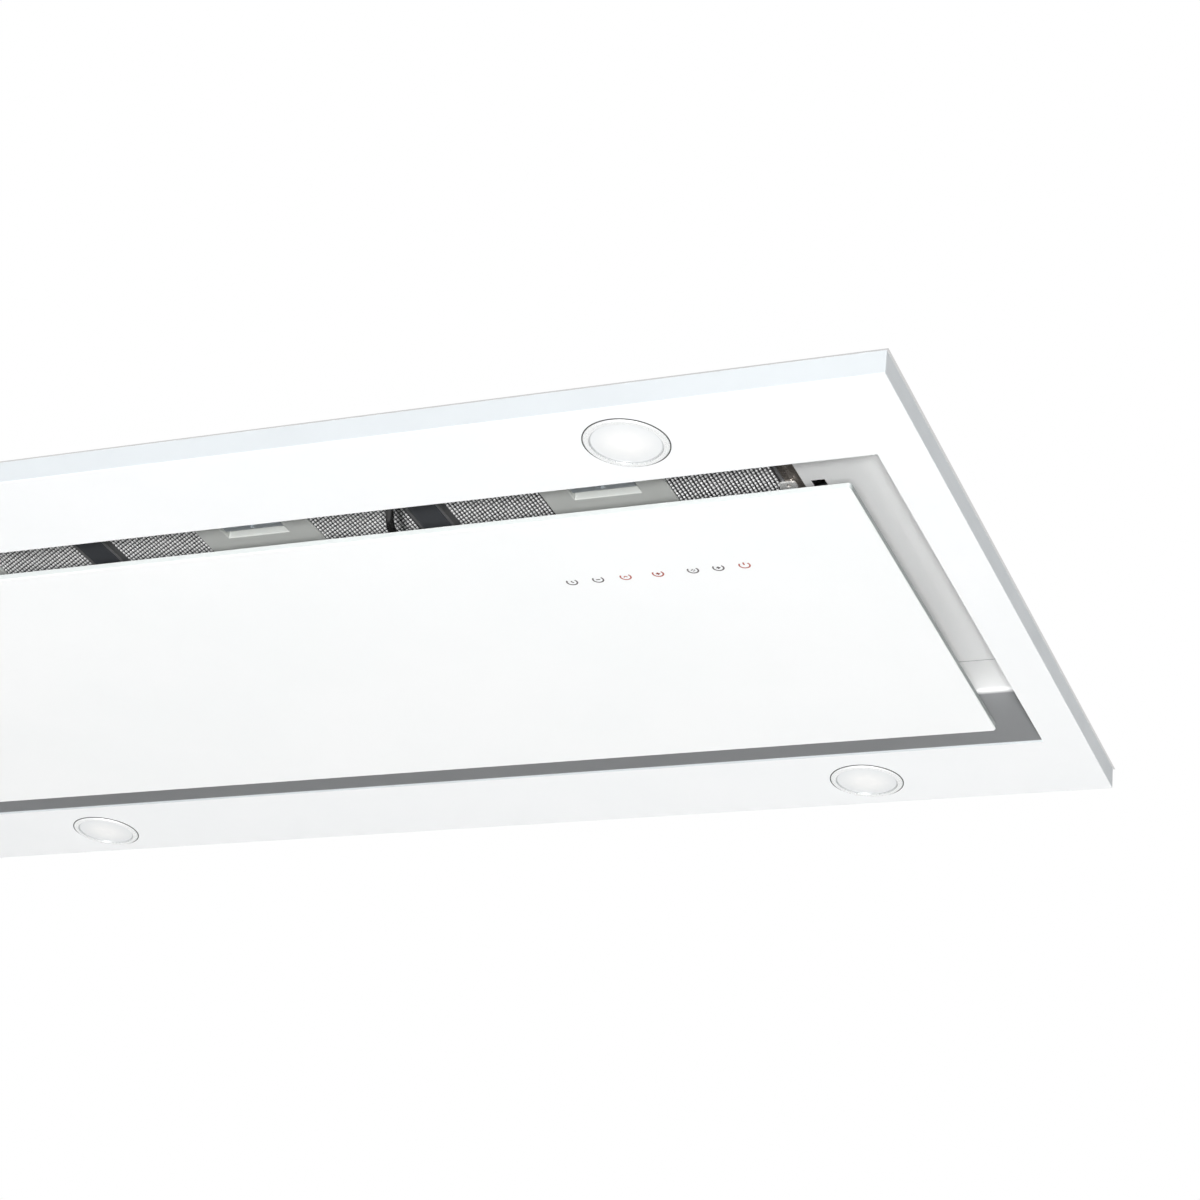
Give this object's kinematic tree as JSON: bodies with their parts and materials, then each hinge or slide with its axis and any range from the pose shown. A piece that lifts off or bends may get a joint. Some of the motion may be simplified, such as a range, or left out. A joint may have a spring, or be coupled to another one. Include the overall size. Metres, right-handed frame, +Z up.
{
  "type": "ceiling range hood",
  "caption": "Flush ceiling hood with edge suction round a drop-down glass panel, mesh grease filters behind it, round lamps, a centrifugal blower and a round duct collar.",
  "frame": {"origin": "middle of the surround frame, in the plane of the ceiling that the frame's rim meets", "axes": "+X along the long side, +Y from the side with the touch controls to the far side, +Z up into the ceiling"},
  "size_m": [0.9, 0.5, 0.3246],
  "materials": {
    "white_paint": "powder coat, satin",
    "grey_paint": "powder coat, fine texture",
    "dark_paint": "powder coat, matt",
    "dark_steel": "folded sheet, darkened",
    "galvanised_steel": "galvanised, light spangle",
    "bright_steel": "zinc plated",
    "pin_steel": "ground",
    "spring_steel": "drawn wire and strip",
    "wheel_steel": "galvanised",
    "latch_steel": "satin, slightly blue",
    "filter_aluminium": "bright crimped mesh",
    "flap_aluminium": "mill finish",
    "cast_aluminium": "die cast",
    "handle_plastic": "satin, moulded",
    "black_plastic": "moulded",
    "grey_plastic": "moulded",
    "white_plastic": "moulded",
    "motor_paint": "semi gloss",
    "magnet": "ferrite",
    "board_green": "solder mask",
    "white_glass": "back-painted toughened glass",
    "frosted_lens": "frosted",
    "chrome_trim": "satin chrome",
    "black_rubber": "moulded",
    "black_jacket": "smooth, glossy"
  },
  "bodies": {
    "hood": {"surround_frame": "white_paint", "recess_tray": "grey_paint", "housing_body": "galvanised_steel", "housing_top": "galvanised_steel", "filter_dividers": "dark_paint", "end_rails": "dark_steel", "latch_springs": "spring_steel", "hinge_brackets": "bright_steel", "magnet_catches": "black_plastic", "catch_magnets": "magnet", "lamp_bezels": "chrome_trim", "lamp_lenses": "frosted_lens", "lamp_cans": "cast_aluminium", "lamp_clips": "spring_steel", "scroll_shell": "galvanised_steel", "inlet_ring_left": "galvanised_steel", "inlet_ring_right": "galvanised_steel", "motor": "motor_paint", "motor_bracket": "bright_steel", "outlet_transition": "galvanised_steel", "blower_hangers": "galvanised_steel", "rubber_mounts": "black_rubber", "duct_collar": "grey_plastic", "flap_pin": "pin_steel", "suspension_brackets": "galvanised_steel", "bracket_screws": "bright_steel", "control_box": "grey_plastic", "control_cover": "grey_plastic", "control_board": "board_green", "terminal_block": "white_plastic", "motor_capacitor": "white_plastic", "cable_gland": "black_plastic", "lamp_driver": "white_plastic", "frame_nuts": "bright_steel", "panel_lead": "black_jacket", "lead_grommets": "black_rubber", "filter_frame_1": "filter_aluminium", "filter_mesh_1": "filter_aluminium", "filter_handle_1": "handle_plastic", "filter_frame_2": "filter_aluminium", "filter_mesh_2": "filter_aluminium", "filter_handle_2": "handle_plastic", "filter_frame_3": "filter_aluminium", "filter_mesh_3": "filter_aluminium", "filter_handle_3": "handle_plastic"},
    "panel": {"glass_panel": "white_glass", "panel_tray": "galvanised_steel", "touch_board": "black_plastic", "lead_plug": "black_plastic", "hinge_lugs": "bright_steel", "hinge_pins": "pin_steel", "strike_plates": "bright_steel"},
    "wheel": {"impeller": "wheel_steel", "motor_shaft": "pin_steel"},
    "far_flap": {"flap_far": "flap_aluminium"},
    "near_flap": {"flap_near": "flap_aluminium"},
    "latch_1": {"filter_latch_1": "latch_steel"},
    "latch_2": {"filter_latch_2": "latch_steel"},
    "latch_3": {"filter_latch_3": "latch_steel"}
  },
  "joints": [
    {"name": "panel_hinge", "type": "hinge", "parent": "hood", "child": "panel", "pos_m": [0, -0.12, -0.006], "axis": [-1, 0, 0], "range_deg": [0, 90], "deforming": ["panel_lead"]},
    {"name": "latch_1_slide", "type": "slide", "parent": "hood", "child": "latch_1", "axis": [0, 1, 0], "range_m": [0, 0.0055], "stiffness_N_per_m": 400, "springref_m": -0.004},
    {"name": "latch_2_slide", "type": "slide", "parent": "hood", "child": "latch_2", "axis": [0, 1, 0], "range_m": [0, 0.0055], "stiffness_N_per_m": 400, "springref_m": -0.004},
    {"name": "latch_3_slide", "type": "slide", "parent": "hood", "child": "latch_3", "axis": [0, 1, 0], "range_m": [0, 0.0055], "stiffness_N_per_m": 400, "springref_m": -0.004},
    {"name": "wheel_spin", "type": "hinge", "parent": "hood", "child": "wheel", "pos_m": [0, -0.04825, 0.1441], "axis": [1, 0, 0], "continuous": true},
    {"name": "far_flap_lift", "type": "hinge", "parent": "hood", "child": "far_flap", "pos_m": [0, 0.02, 0.26726], "axis": [1, 0, 0], "range_deg": [0, 80]},
    {"name": "near_flap_lift", "type": "hinge", "parent": "hood", "child": "near_flap", "pos_m": [0, 0.02, 0.26726], "axis": [-1, 0, 0], "range_deg": [0, 80]}
  ]
}
